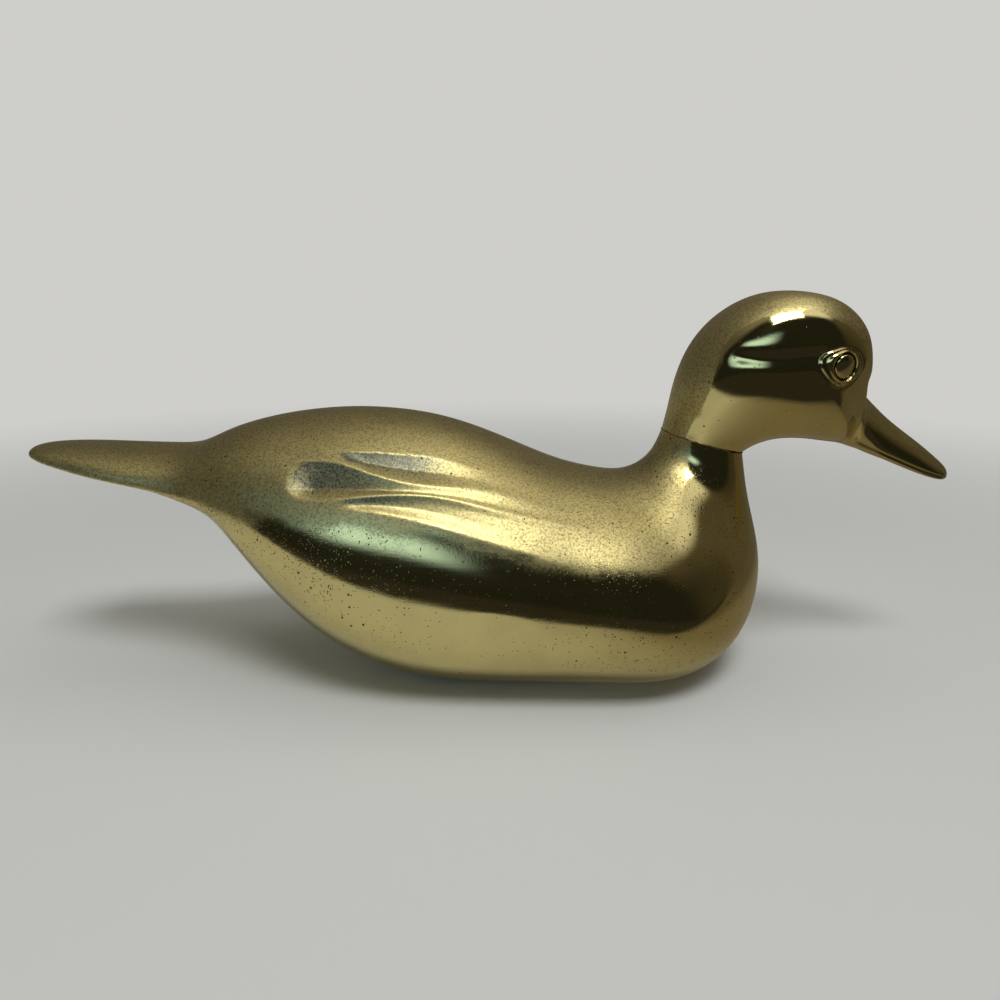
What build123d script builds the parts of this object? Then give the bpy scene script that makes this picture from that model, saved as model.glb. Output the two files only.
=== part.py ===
from build123d import *
from collections import namedtuple
import os

# A hollow brass duck. +X points to the bill, +Y to the duck's left, +Z up; the flat base stands on z = 0
# and the origin is under the middle of the length. Sizes in millimetres.

# Lengths along the duck
tail_length = 54.0
body_length = 185.0
head_length = 65.0
bill_length = 29.0
neck_place = 0.822          # where the back of the neck rises, as a share of the body's length

# Heights and widths
body_height = 86.0
head_height = 51.2          # from the throat to the crown
tail_width = 44.0
body_width = 97.0
neck_width = 24.4
head_width = 44.0
bill_width = 20.0
nape_share = 0.913          # top and bottom of the neck seam, as shares of the body's height
throat_share = 0.829
throat_place = 0.964        # front of the neck seam, as a share of the body's length

# Castings and brazed seams
wall = 4.0
body_seam = 0.3
neck_seam = 0.5
seam_proud = 0.15

# Spigot of the head in the neck of the body
spigot_length = 14.0
spigot_wall = 2.4
spigot_clearance = 0.15

# Eyes
eye_diameter = 7.6
eye_dome = 1.3
eye_clearance = 0.12
eye_socket_floor = 1.5      # metal left behind the socket
eye_place = 0.755           # as shares of the head's length and height
eye_level = 0.574
eyelid_length = 13.2
eyelid_height = 11.2
eyelid_rise = 0.7
eyelid_root = 2.0           # how far the lids run into the skull
eyelid_slope = 0.5          # rise of the long way of the lids towards the bill

# Flutes of the wings: their depths, and how far the edges and the roof of the cutter stand out of the metal
covert_depth = 1.9
quill_depth = 1.7
edge_depth = 1.3
cutter_edge = 0.4
cutter_roof = 2.5

# Vent hole under the left shell
vent_diameter = 7.0
vent_clearance = 0.1
vent_recess = 0.5
vent_x = -6.0
vent_y = 10.0

# Pull of the control points that makes a curve of the third degree follow a quarter of an ellipse
arc_pull = 0.5523

# Places that follow from these sizes
overall_length = tail_length + neck_place * body_length + head_length + bill_length
tail_tip_x = -overall_length / 2
tail_root_x = tail_tip_x + tail_length
nape_x = tail_root_x + neck_place * body_length
face_x = nape_x + head_length
throat_z = throat_share * body_height

# A zone says how shares turn into places: its start and length, its foot and height, and its width.
Zone = namedtuple("Zone", "start length foot height width")
TAIL = Zone(tail_tip_x, tail_length, 0.0, body_height, tail_width)
BODY = Zone(tail_root_x, body_length, 0.0, body_height, body_width)
NECK = Zone(tail_root_x, body_length, 0.0, body_height, neck_width)
HEAD = Zone(nape_x, head_length, throat_z, head_height, head_width)
BILL = Zone(face_x, bill_length, throat_z, head_height, bill_width)

# Each station is one cross-section: the back point and the keel point as shares along and up, the width as a
# share of its zone's, the share of the section's height at which it is widest, how full it is above and below
# that line, and how broad its crest is where that differs from the fullness above.
Station = namedtuple(
    "Station",
    "zone back_along back_up keel_along keel_up width widest above below crest",
    defaults=(arc_pull, arc_pull, None),
)
neck_station = Station(NECK, neck_place, nape_share, throat_place, throat_share, 1.00, 0.50)
tail_stations = [
    Station(TAIL, 0.000, 0.845, 0.000, 0.830, 0.07, 0.40),
    Station(TAIL, 0.022, 0.856, 0.022, 0.821, 0.27, 0.36),
    Station(TAIL, 0.090, 0.865, 0.090, 0.807, 0.46, 0.30),
    Station(TAIL, 0.260, 0.870, 0.250, 0.784, 0.64, 0.22),
    Station(TAIL, 0.520, 0.866, 0.500, 0.751, 0.80, 0.18),
    Station(TAIL, 0.800, 0.860, 0.760, 0.719, 0.91, 0.18),
    Station(TAIL, 1.000, 0.868, 0.954, 0.681, 1.00, 0.24),
    Station(BODY, 0.054, 0.914, 0.038, 0.616, 0.53, 0.32),
]
hollow_stations = [
    Station(BODY, 0.119, 0.958, 0.082, 0.495, 0.64, 0.38),
    Station(BODY, 0.195, 0.988, 0.148, 0.310, 0.77, 0.40),
    Station(BODY, 0.292, 1.000, 0.250, 0.110, 0.90, 0.40),
    Station(BODY, 0.411, 0.974, 0.392, -0.015, 0.98, 0.40),
    Station(BODY, 0.535, 0.887, 0.559, -0.036, 1.00, 0.41),
    Station(BODY, 0.638, 0.795, 0.724, -0.036, 0.99, 0.42),
    Station(BODY, 0.714, 0.756, 0.860, -0.014, 0.94, 0.42),
    Station(BODY, 0.757, 0.756, 0.950, 0.095, 0.79, 0.42),
    Station(BODY, 0.788, 0.788, 0.997, 0.285, 0.59, 0.44),
    Station(BODY, 0.807, 0.837, 0.999, 0.488, 0.385, 0.46),
    Station(BODY, 0.817, 0.884, 0.978, 0.674, 0.278, 0.48),
]
skull_stations = [
    Station(HEAD, 0.020, 0.250, 0.437, 0.037, 0.61, 0.50),
    Station(HEAD, 0.050, 0.424, 0.500, 0.076, 0.76, 0.52, 0.60, 0.58),
    Station(HEAD, 0.120, 0.658, 0.570, 0.096, 0.91, 0.54, 0.68, 0.62, 0.60),
    Station(HEAD, 0.262, 0.866, 0.638, 0.100, 1.00, 0.54, 0.80, 0.66, 0.62),
    Station(HEAD, 0.477, 0.992, 0.708, 0.094, 1.02, 0.54, 0.86, 0.68, 0.64),
    Station(HEAD, 0.677, 0.990, 0.770, 0.084, 0.98, 0.54, 0.86, 0.68, 0.64),
    Station(HEAD, 0.840, 0.910, 0.843, 0.072, 0.83, 0.54, 0.78, 0.68, 0.62),
]
bill_stations = [
    Station(HEAD, 0.929, 0.748, 0.900, 0.057, 0.655, 0.58, 0.78, 0.56, 0.64),
    Station(HEAD, 0.950, 0.541, 0.951, 0.037, 0.475, 0.42, 0.50, 0.74, 0.42),
    Station(HEAD, 0.974, 0.408, 1.000, 0.016, 0.420, 0.32, 0.50, 0.82, 0.32),
    Station(BILL, 0.080, 0.318, 0.090, -0.006, 0.90, 0.22, 0.66, 0.88, 0.26),
    Station(BILL, 0.240, 0.236, 0.224, -0.034, 0.86, 0.15, 0.78, 0.92, 0.22),
    Station(BILL, 0.620, 0.078, 0.590, -0.117, 0.72, 0.13, 0.80, 0.92, 0.20),
    Station(BILL, 0.890, -0.040, 0.870, -0.166, 0.56, 0.18, 0.70, 0.86, 0.22),
    Station(BILL, 0.985, -0.092, 0.970, -0.170, 0.36, 0.32, 0.56, 0.62, 0.42),
    Station(BILL, 1.000, -0.116, 0.996, -0.150, 0.14, 0.44),
]

# Each flute lies between two feather edges. Its cuts run from the rear to the shoulder: the place along the
# body, the upper and lower edge as shares of its height, and the share of the depth. Below 0 the cutter is out
# of the metal, so the flute starts and ends in a point.
Flute = namedtuple("Flute", "depth lowest cuts")
covert_flute = Flute(covert_depth, 0.62, [
    (0.276, 0.888, 0.854, -0.25),
    (0.314, 0.889, 0.838, 0.50),
    (0.368, 0.884, 0.812, 1.00),
    (0.427, 0.869, 0.786, 0.90),
    (0.487, 0.836, 0.771, 0.45),
    (0.552, 0.786, 0.738, -0.20),
])
quill_flute = Flute(quill_depth, 0.66, [
    (0.211, 0.842, 0.758, -0.25),
    (0.238, 0.860, 0.741, 0.80),
    (0.276, 0.857, 0.747, 1.00),
    (0.324, 0.831, 0.757, 0.75),
    (0.389, 0.798, 0.762, 0.30),
    (0.454, 0.780, 0.747, -0.20),
])
edge_flute = Flute(edge_depth, 0.55, [
    (0.303, 0.756, 0.714, -0.25),
    (0.346, 0.760, 0.710, 0.60),
    (0.427, 0.756, 0.677, 1.00),
    (0.503, 0.725, 0.632, 0.75),
    (0.586, 0.680, 0.579, -0.20),
])
wing_flutes = (covert_flute, quill_flute, edge_flute)


def station_point(zone, along, up):
    """A point on the middle plane at shares of a zone's length and height."""
    return Vector(zone.start + along * zone.length, 0, zone.foot + up * zone.height)


def measure(station):
    """Plane, half width, rise and fall of a station's section about its widest line."""
    back = station_point(station.zone, station.back_along, station.back_up)
    keel = station_point(station.zone, station.keel_along, station.keel_up)
    up = back - keel
    plane = Plane(origin=keel + up * station.widest, x_dir=(0, 1, 0), z_dir=Vector(0, 1, 0).cross(up))
    half_width = station.width * station.zone.width / 2
    return plane, half_width, (1 - station.widest) * up.length, station.widest * up.length


def quarter_arc(reach, height, side=arc_pull, crest=arc_pull):
    """Control points of a quarter of an oval about the origin, from (reach, 0) to (0, height)."""
    return (reach, 0), (reach, side * height), (crest * reach, height), (0, height)


def oval(plane, half_width, rise, fall, above=arc_pull, below=arc_pull, crest=arc_pull):
    """A section: half an oval above the widest line and half a different one below it."""
    with BuildSketch(plane) as outline:
        with BuildLine():
            Bezier(*quarter_arc(half_width, rise, above, crest))
            Bezier(*reversed(quarter_arc(-half_width, rise, above, crest)))
            Bezier(*quarter_arc(-half_width, -fall, below, below))
            Bezier(*reversed(quarter_arc(half_width, -fall, below, below)))
        make_face()
    return outline.sketch


def section(station, inset=0.0):
    """A station's section, drawn inwards by the inset."""
    plane, half_width, rise, fall = measure(station)
    crest = station.above if station.crest is None else station.crest
    return oval(plane, half_width - inset, rise - inset, fall - inset, station.above, station.below, crest)


neck_plane, neck_half_width, neck_rise, neck_fall = measure(neck_station)
head_plane = neck_plane.offset(neck_seam)


def neck_oval(plane, inset):
    """The outline of the neck seam on a plane across the neck, drawn inwards by the inset."""
    return oval(plane, neck_half_width - inset, neck_rise - inset, neck_fall - inset)


os.makedirs("parts", exist_ok=True)

# Hollow body with the solid tail, the flat base and the bore of the neck
with BuildPart() as body_cavity:
    loft([section(station, wall) for station in hollow_stations + [neck_station]])
    split(bisect_by=Plane.XY.offset(wall), keep=Keep.TOP)
    extrude(neck_oval(neck_plane.offset(-spigot_length), wall), amount=spigot_length + wall)

with BuildPart() as body_form:
    loft([section(station) for station in tail_stations + hollow_stations + [neck_station]])
    split(bisect_by=Plane.XY, keep=Keep.TOP)

with BuildPart() as body_shell:
    add(body_form.part)
    add(body_cavity.part, mode=Mode.SUBTRACT)


def outermost(part, place, side):
    """Where a line across the duck leaves a part on the left (1) or right (-1), and the normal there."""
    hits = part.find_intersection_points(Axis(place, (0, side, 0)))
    return max(hits, key=lambda hit: side * hit[0].Y)


def flank_point(x, z, side, outwards):
    """A point beside the body's skin at a place along and up, in the plane across the duck."""
    spot, normal = outermost(body_form.part, (x, 0, z), side)
    return spot.Y + normal.Y * outwards, spot.Z + normal.Z * outwards


def cut_flute(flute, side):
    """Cuts a flute into one side of the body with a four-edged cutter lofted along it."""
    cutter = []
    for along, upper, lower, share in flute.cuts:
        x = BODY.start + along * BODY.length
        bottom = upper + flute.lowest * (lower - upper)
        with BuildSketch(Plane.YZ.offset(x)) as cut:
            with BuildLine():
                Polyline(
                    flank_point(x, upper * BODY.height, side, cutter_edge),
                    flank_point(x, bottom * BODY.height, side, -share * flute.depth),
                    flank_point(x, lower * BODY.height, side, cutter_edge),
                    flank_point(x, bottom * BODY.height, side, cutter_roof),
                    close=True,
                )
            make_face()
        cutter.append(cut.sketch)
    loft(cutter, mode=Mode.SUBTRACT)


# The two halves of the body, each with its fluted wing, and the filler between them
left_seam_plane = Plane.XZ.offset(-body_seam / 2)
right_seam_plane = Plane.XZ.offset(body_seam / 2)

with BuildPart() as right_body_shell:
    add(body_shell.part)
    split(bisect_by=right_seam_plane, keep=Keep.TOP)
    for flute in wing_flutes:
        cut_flute(flute, -1)

with BuildPart() as left_body_shell:
    add(body_shell.part)
    split(bisect_by=left_seam_plane, keep=Keep.BOTTOM)
    for flute in wing_flutes:
        cut_flute(flute, 1)
    with Locations((vent_x, vent_y, wall / 2)):
        Cylinder(vent_diameter / 2, 2 * wall, mode=Mode.SUBTRACT)

with BuildPart() as body_seam_braze:
    add(body_shell.part)
    split(bisect_by=left_seam_plane, keep=Keep.TOP)
    split(bisect_by=right_seam_plane, keep=Keep.BOTTOM)

# Ring of filler in the neck seam, a little proud of the metal
with BuildPart() as neck_braze_ring:
    extrude(neck_oval(neck_plane, -seam_proud), amount=neck_seam)
    extrude(neck_oval(neck_plane, wall), amount=neck_seam, mode=Mode.SUBTRACT)

# Plug of the vent hole, set in a little from the base
with BuildPart() as vent_plug:
    with Locations((vent_x, vent_y, vent_recess)):
        Cylinder(
            vent_diameter / 2 - vent_clearance,
            wall - vent_recess,
            align=(Align.CENTER, Align.CENTER, Align.MIN),
        )

# Head with its bill, hollow skull and spigot
spigot_inset = wall + spigot_clearance
bore_inset = spigot_inset + spigot_wall

with BuildPart() as skull:
    loft([neck_oval(head_plane, 0)] + [section(station) for station in skull_stations + bill_stations])

eye_spot = (nape_x + eye_place * head_length, 0, throat_z + eye_level * head_height)
socket_depth = wall - eye_socket_floor


def eye_plane(side):
    """Plane on the skull where an eye sits, facing outwards, on the left (1) or right (-1)."""
    spot, normal = outermost(skull.part, eye_spot, side)
    return Plane(origin=spot, x_dir=(1, 0, eyelid_slope), z_dir=normal)


left_eye_plane = eye_plane(1)
right_eye_plane = eye_plane(-1)

with BuildPart() as head_casting:
    add(skull.part)
    for plane in (left_eye_plane, right_eye_plane):
        with BuildSketch(plane.offset(-eyelid_root)):
            Ellipse(eyelid_length / 2, eyelid_height / 2)
        extrude(amount=eyelid_root + eyelid_rise)
    loft(
        [neck_oval(head_plane, bore_inset)] + [section(station, wall) for station in skull_stations],
        mode=Mode.SUBTRACT,
    )
    extrude(neck_oval(head_plane, spigot_inset), amount=-spigot_length)
    extrude(neck_oval(head_plane, bore_inset), amount=-spigot_length, mode=Mode.SUBTRACT)
    for plane in (left_eye_plane, right_eye_plane):
        with BuildSketch(plane.offset(-socket_depth)):
            Circle(eye_diameter / 2)
        extrude(amount=socket_depth + 2 * eyelid_rise, mode=Mode.SUBTRACT)


def make_eye(plane):
    """A stud with a domed end, turned about the middle of its socket."""
    stud_radius = eye_diameter / 2 - eye_clearance
    with BuildPart() as eye:
        with BuildSketch(Plane(origin=plane.origin, x_dir=plane.x_dir, z_dir=-plane.y_dir)):
            with BuildLine():
                Bezier(*quarter_arc(stud_radius, eye_dome))
                Polyline((stud_radius, 0), (stud_radius, -socket_depth), (0, -socket_depth), (0, eye_dome))
            make_face()
        revolve(axis=Axis(plane.origin, plane.z_dir))
    return eye


left_eye = make_eye(left_eye_plane)
right_eye = make_eye(right_eye_plane)

for node, name in (
    (left_body_shell, "left_body_shell"),
    (right_body_shell, "right_body_shell"),
    (body_seam_braze, "body_seam_braze"),
    (neck_braze_ring, "neck_braze_ring"),
    (vent_plug, "vent_plug"),
    (head_casting, "head_casting"),
    (left_eye, "left_eye"),
    (right_eye, "right_eye"),
):
    node.part.label = name
    export_step(node.part, f"parts/{name}.step")
    print(name, len(node.part.solids()), round(node.part.volume, 1), node.part.bounding_box())
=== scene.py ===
import math
from collections import namedtuple

import bpy
import numpy as np
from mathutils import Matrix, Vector


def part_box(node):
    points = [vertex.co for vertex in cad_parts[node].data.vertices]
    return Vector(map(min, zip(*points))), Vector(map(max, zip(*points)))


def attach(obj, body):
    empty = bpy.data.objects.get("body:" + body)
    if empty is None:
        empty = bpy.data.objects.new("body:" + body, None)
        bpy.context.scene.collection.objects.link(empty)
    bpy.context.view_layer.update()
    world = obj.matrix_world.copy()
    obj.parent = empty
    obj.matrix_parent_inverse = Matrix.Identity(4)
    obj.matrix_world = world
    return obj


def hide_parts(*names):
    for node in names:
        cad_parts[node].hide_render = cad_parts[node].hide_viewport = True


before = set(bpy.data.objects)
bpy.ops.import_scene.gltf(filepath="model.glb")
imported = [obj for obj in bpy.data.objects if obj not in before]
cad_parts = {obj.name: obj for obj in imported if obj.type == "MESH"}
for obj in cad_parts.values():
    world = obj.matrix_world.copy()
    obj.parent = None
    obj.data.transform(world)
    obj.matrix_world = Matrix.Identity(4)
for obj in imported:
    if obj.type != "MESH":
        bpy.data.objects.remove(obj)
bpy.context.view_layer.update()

# A polished brass duck. Surfaces are worked out in millimetres and become metres as they go into a mesh.
# +X points to the bill, +Y to the duck's left, +Z up; the flat base stands on z = 0.
MM = 0.001

# Driving sizes of the castings, the same as those of the solids
TAIL_LENGTH = 54.0
BODY_LENGTH = 185.0
HEAD_LENGTH = 65.0
BILL_LENGTH = 29.0
NECK_PLACE = 0.822
BODY_HEIGHT = 86.0
HEAD_HEIGHT = 51.2
TAIL_WIDTH = 44.0
BODY_WIDTH = 97.0
NECK_WIDTH = 24.4
HEAD_WIDTH = 44.0
BILL_WIDTH = 20.0
NAPE_SHARE = 0.913
THROAT_SHARE = 0.829
THROAT_PLACE = 0.964
WALL = 4.0
BODY_SEAM = 0.3
NECK_SEAM = 0.5
SPIGOT_LENGTH = 14.0
SPIGOT_INSET = 4.15
BORE_INSET = 6.55

overall_length = TAIL_LENGTH + NECK_PLACE * BODY_LENGTH + HEAD_LENGTH + BILL_LENGTH
tail_tip_x = -overall_length / 2
tail_root_x = tail_tip_x + TAIL_LENGTH
nape_x = tail_root_x + NECK_PLACE * BODY_LENGTH
face_x = nape_x + HEAD_LENGTH
throat_z = THROAT_SHARE * BODY_HEIGHT

# A zone turns shares into places: its start and length, its foot and height, and its width.
Zone = namedtuple("Zone", "start length foot height width")
TAIL = Zone(tail_tip_x, TAIL_LENGTH, 0.0, BODY_HEIGHT, TAIL_WIDTH)
BODY = Zone(tail_root_x, BODY_LENGTH, 0.0, BODY_HEIGHT, BODY_WIDTH)
NECK = Zone(tail_root_x, BODY_LENGTH, 0.0, BODY_HEIGHT, NECK_WIDTH)
HEAD = Zone(nape_x, HEAD_LENGTH, throat_z, HEAD_HEIGHT, HEAD_WIDTH)
BILL = Zone(face_x, BILL_LENGTH, throat_z, HEAD_HEIGHT, BILL_WIDTH)

# A station is one cross-section: its back point and keel point as shares along and up, its width as a share
# of the zone's, and the share of its height at which it is widest. One that isn't round also has its
# fullness above and below, and at the crest if that differs.
ROUND = 0.5523
NECK_STATION = (NECK, NECK_PLACE, NAPE_SHARE, THROAT_PLACE, THROAT_SHARE, 1.00, 0.50)
BODY_STATIONS = (
    (TAIL, 0.000, 0.845, 0.000, 0.830, 0.07, 0.40),
    (TAIL, 0.022, 0.856, 0.022, 0.821, 0.27, 0.36),
    (TAIL, 0.090, 0.865, 0.090, 0.807, 0.46, 0.30),
    (TAIL, 0.260, 0.870, 0.250, 0.784, 0.64, 0.22),
    (TAIL, 0.520, 0.866, 0.500, 0.751, 0.80, 0.18),
    (TAIL, 0.800, 0.860, 0.760, 0.719, 0.91, 0.18),
    (TAIL, 1.000, 0.868, 0.954, 0.681, 1.00, 0.24),
    (BODY, 0.054, 0.914, 0.038, 0.616, 0.53, 0.32),
    (BODY, 0.119, 0.958, 0.082, 0.495, 0.64, 0.38),
    (BODY, 0.195, 0.988, 0.148, 0.310, 0.77, 0.40),
    (BODY, 0.292, 1.000, 0.250, 0.110, 0.90, 0.40),
    (BODY, 0.411, 0.974, 0.392, -0.015, 0.98, 0.40),
    (BODY, 0.535, 0.887, 0.559, -0.036, 1.00, 0.41),
    (BODY, 0.638, 0.795, 0.724, -0.036, 0.99, 0.42),
    (BODY, 0.714, 0.756, 0.860, -0.014, 0.94, 0.42),
    (BODY, 0.757, 0.756, 0.950, 0.095, 0.79, 0.42),
    (BODY, 0.788, 0.788, 0.997, 0.285, 0.59, 0.44),
    (BODY, 0.807, 0.837, 0.999, 0.488, 0.385, 0.46),
    (BODY, 0.817, 0.884, 0.978, 0.674, 0.278, 0.48),
    NECK_STATION,
)
FIRST_HOLLOW_STATION = 8
SKULL_STATIONS = (
    (HEAD, 0.020, 0.250, 0.437, 0.037, 0.61, 0.50),
    (HEAD, 0.050, 0.424, 0.500, 0.076, 0.76, 0.52, 0.60, 0.58),
    (HEAD, 0.120, 0.658, 0.570, 0.096, 0.91, 0.54, 0.68, 0.62, 0.60),
    (HEAD, 0.262, 0.866, 0.638, 0.100, 1.00, 0.54, 0.80, 0.66, 0.62),
    (HEAD, 0.477, 0.992, 0.708, 0.094, 1.02, 0.54, 0.86, 0.68, 0.64),
    (HEAD, 0.677, 0.990, 0.770, 0.084, 0.98, 0.54, 0.86, 0.68, 0.64),
    (HEAD, 0.840, 0.910, 0.843, 0.072, 0.83, 0.54, 0.78, 0.68, 0.62),
)
FACE_STATIONS = (
    (HEAD, 0.929, 0.748, 0.900, 0.057, 0.655, 0.58, 0.78, 0.56, 0.64),
    (HEAD, 0.950, 0.541, 0.951, 0.037, 0.475, 0.42, 0.50, 0.74, 0.42),
    (HEAD, 0.974, 0.408, 1.000, 0.016, 0.420, 0.32, 0.50, 0.82, 0.32),
    (BILL, 0.080, 0.318, 0.090, -0.006, 0.90, 0.22, 0.54, 0.88, 0.30),
    (BILL, 0.240, 0.236, 0.224, -0.034, 0.86, 0.15, 0.58, 0.92, 0.28),
    (BILL, 0.620, 0.078, 0.590, -0.117, 0.72, 0.13, 0.58, 0.92, 0.27),
    (BILL, 0.890, -0.040, 0.870, -0.166, 0.56, 0.18, 0.56, 0.86, 0.26),
    (BILL, 0.985, -0.092, 0.970, -0.170, 0.36, 0.32, 0.56, 0.62, 0.42),
    (BILL, 1.000, -0.116, 0.996, -0.150, 0.14, 0.44),
)

# Edges of the wing's feathers on the side of the body, from the rear to the shoulder: x and z
COVERT_EDGE = ((-44, 76.2), (-35, 76.3), (-26, 75.7), (-17, 74.7), (-8, 72.4), (12, 65.6), (30, 57.0))
UPPER_QUILL = (
    (-64, 73.4), (-55, 74.0), (-46, 73.8), (-36, 71.4), (-23, 68.4), (-3, 66.0), (15, 61.0), (30, 55.2),
)
LOWER_QUILL = (
    (-56, 63.4), (-50, 63.8), (-39, 64.9), (-23, 65.6), (-11, 64.2), (0, 61.4), (14, 57.9), (30, 54.8),
)
WING_EDGE = ((-56, 61.0), (-48, 61.6), (-33, 61.2), (-17, 58.2), (-3, 54.3), (13, 49.5), (30, 45.0))

# Flutes between those edges: depth and lowest place as shares of the height, where the rear end is, how far
# it slants and bows, and where the flute fades towards the shoulder. Then the dark patch left in it,
# casting skin with painted shade under its upper edge: how much, where it ends across the flute, and where
# it fades.
Flute = namedtuple("Flute", "upper lower depth lowest rear slant bow fade skin skin_end skin_fade")
WING_FLUTES = (
    Flute(COVERT_EDGE, UPPER_QUILL, 0.19, 0.45, -47, 5, 0, (-24, 12), 1.35, (0.46, 0.90), (-24, -6)),
    Flute(UPPER_QUILL, LOWER_QUILL, 0.17, 0.64, -60, 0, 3, (-42, 16), 1.0, (0.66, 0.90), (-44, -18)),
    Flute(LOWER_QUILL, WING_EDGE, 0.13, 0.50, -44, 0, 0, (-32, 16), 1.0, (0.30, 0.70), (-36, -18)),
)
FLUTE_END = 9.0
FLUTE_LEAST_HEIGHT = 0.4

# Thin crests on those edges: height, half width, and where they begin and fade
Crest = namedtuple("Crest", "line height width rear fade")
FEATHER_CRESTS = (
    Crest(UPPER_QUILL, 0.22, 1.3, (-62, -40), (0, 28)),
    Crest(LOWER_QUILL, 0.26, 1.1, (-50, -20), (16, 31)),
    Crest(WING_EDGE, 0.20, 1.4, (-48, -30), (4, 26)),
)
RUMP_RIDGE = ((-100.0, 61.5), (-90.0, 60.5), (-74.0, 58.0))
RUMP_RIDGE_HEIGHT = 0.7
RUMP_RIDGE_WIDTH = 3.0

# Waves of hand polishing: their height, and their lengths along the duck, up it and of their drift
BODY_WAVE_HEIGHT = 0.035
BODY_WAVES = (6.1, 7.3, 31.0)
HEAD_WAVE_HEIGHT = 0.03
HEAD_WAVES = (5.3, 6.1, 23.0)

# Creases of the head, seen from the side: x and z, and for the face's edge z and x
EYE_LINE = ((70.0, 102.1), (73.8, 103.3), (79.3, 102.8), (85.4, 102.7), (97.0, 103.8))
EYE_LINE_DEPTH = 0.65
EYE_LINE_WIDTH = 2.2
FACE_EDGE = (
    (76.8, 112.4), (80.0, 110.9), (83.0, 109.4), (86.0, 107.2), (89.0, 104.4), (92.0, 102.0),
    (95.0, 100.6), (99.0, 98.9), (103.0, 97.6), (107.0, 98.4),
)
BILL_ROOT = ((117.2, 89.5), (116.7, 87.3), (115.9, 83.3), (115.0, 79.7), (114.6, 77.0))
BILL_ROOT_DEPTH = 0.22
BILL_ROOT_WIDTH = 0.9
MOUTH_LINE = ((116.2, 76.0), (121.5, 73.6), (128.0, 70.9), (133.4, 68.6), (140.0, 66.0), (146.0, 64.0))
MOUTH_DEPTH = 0.40
MOUTH_WIDTH = 0.5
MOUTH_START = (0.0, 0.06)

# Body and head are satin above these lines and polished below them: x and z
SATIN_EDGE = (
    (-150, 60), (-100, 57), (-60, 59), (-30, 58), (0, 52), (30, 46), (46, 46), (54, 51), (59, 62),
    (62.5, 73), (65, 84),
)
POLISH_EDGE = (
    (56.0, 62.0), (61.5, 77.4), (66.0, 90.1), (67.4, 97.0), (69.4, 104.8), (73.0, 110.4), (80.3, 114.6),
    (94.5, 116.9), (105.0, 112.4), (111.0, 107.4),
)

# Eyes: half the length and height of the eye and of its lids, and the lids' drawn-out rear corner
EYE_REACH = (3.7, 3.9)
LID_REACH = (6.2, 5.4)
LID_CORNER = math.radians(165)
LID_CORNER_REACH = 1.9
LID_CORNER_SPREAD = 0.46
# Ridges and the groove round the lids: height, and place and width as shares of the lids' breadth
LID_RIDGES = ((0.75, 0.32, 0.30), (0.32, 0.92, 0.17), (-0.18, 1.20, 0.18))
SOCKET_RIM = (0.96, 1.06)
SOCKET_DEPTH = 1.5

# The face lies back in front of its edge: how deep, over what distance, and the heights and the length
# between which it does
FACE_DEPTH = 1.6
FACE_RUN = 9.0
FACE_FOOT = (73.5, 80.0)
FACE_BROW = (95.0, 104.0)
FACE_FRONT = 107.0
FACE_FRONT_STEP = 5.0
FACE_FRONT_LEVEL = (94.0, 102.0)


def natural_spline(knots, values, at):
    """Smooth curve through the values: on each span a cubic, with the same slope and bending as its
    neighbours where they meet, and no bending at the two ends."""
    span = np.diff(knots)
    slope = np.diff(values, axis=0) / span[:, None]
    still = np.zeros((1, values.shape[1]))
    system = np.diag(np.r_[1.0, 2 * (span[:-1] + span[1:]), 1.0])
    system += np.diag(np.r_[span[:-1], 0.0], -1) + np.diag(np.r_[0.0, span[1:]], 1)
    bending = np.linalg.solve(system, np.vstack([still, 6 * np.diff(slope, axis=0), still]))
    k = np.clip(np.searchsorted(knots, at) - 1, 0, len(knots) - 2)
    after = (at - knots[k])[:, None]
    before = (knots[k + 1] - at)[:, None]
    width = span[k][:, None]
    cubic = (bending[k] * before**3 + bending[k + 1] * after**3) / (6 * width)
    line = (values[k] / width - bending[k] * width / 6) * before
    return cubic + line + (values[k + 1] / width - bending[k + 1] * width / 6) * after


def measured(stations):
    """Stations as rows of back x and z, keel x and z, half width, widest share and the three fullnesses."""
    rows = []
    for zone, back_along, back_up, keel_along, keel_up, width, widest, *fullness in stations:
        above, below, *crest = fullness or (ROUND, ROUND)
        rows.append((
            zone.start + back_along * zone.length,
            zone.foot + back_up * zone.height,
            zone.start + keel_along * zone.length,
            zone.foot + keel_up * zone.height,
            width * zone.width / 2,
            widest,
            above,
            below,
            crest[0] if crest else above,
        ))
    return np.array(rows)


def travel(stations):
    """Distance run from the first station to each one, along the back and the keel and across the width."""
    step = np.diff(stations[:, :5], axis=0) ** 2
    return np.r_[0.0, np.cumsum(np.sqrt(step[:, :4].sum(1) / 2 + step[:, 4]))]


def rows_along(stations, shares):
    """Sections between the stations, at shares of the whole distance run."""
    knots = travel(stations)
    return natural_spline(knots, stations, np.asarray(shares) * knots[-1])


def share_at(stations, x):
    """Share of the distance run at which the middle of the section reaches x."""
    middle = (stations[:, 0] + stations[:, 2]) / 2
    return np.interp(x, middle, travel(stations) / travel(stations)[-1])


def gathered(count, place, width, height):
    """Numbers from 0 to 1, closer together near a place: even steps of the running total of 1 plus a bell
    there."""
    fine = np.linspace(0, 1, 4001)
    density = 1 + height * bell(fine - place, width)
    total = np.r_[0.0, np.cumsum((density[1:] + density[:-1]) / 2)]
    return np.interp(np.linspace(0, total[-1], count), total, fine)


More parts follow.
